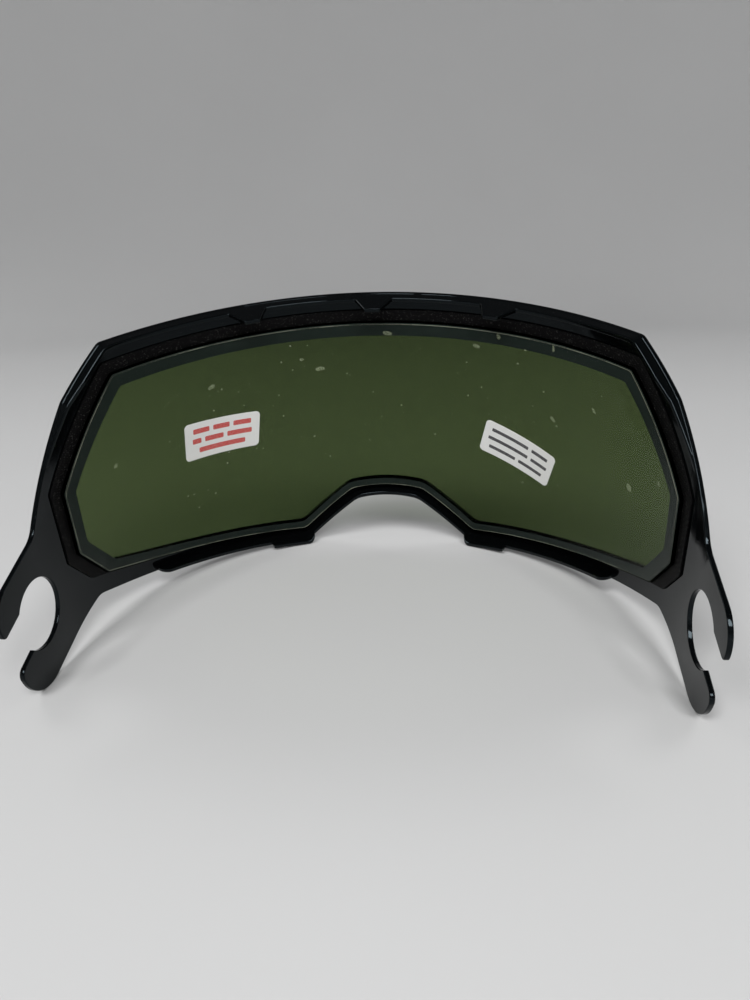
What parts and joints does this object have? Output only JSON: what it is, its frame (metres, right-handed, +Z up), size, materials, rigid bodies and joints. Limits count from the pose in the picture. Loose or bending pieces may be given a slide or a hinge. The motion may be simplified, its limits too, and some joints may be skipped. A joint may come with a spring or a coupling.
{
  "type": "face shield",
  "caption": "Wrap-round tinted face shield: gloss black moulded frame with C-shaped snap hooks, green lens held by adhesive tape, and a peel-off protective film with plain stickers.",
  "frame": {"origin": "bottom centre of the bounding box, on the surface that the shield stands on", "axes": "+Z up; +Y towards the front of the lens, away from the wearer; +X to the wearer-side view's right"},
  "size_m": [0.2032, 0.1442, 0.1145],
  "materials": {
    "frame": "gloss black moulding",
    "lens": "clear dark olive green tint",
    "tape": "black textured adhesive tape",
    "film": "clear thin film",
    "label": "white sticker"
  },
  "bodies": {
    "shield": {"frame": "frame", "lens": "lens", "lens_tape": "tape"},
    "film": {"film": "film", "label_left": "label", "label_right": "label"}
  },
  "joints": [
    {"name": "film_peel", "type": "slide", "parent": "shield", "child": "film", "axis": [0, -1, 0], "range_m": [0, 0.18]}
  ]
}
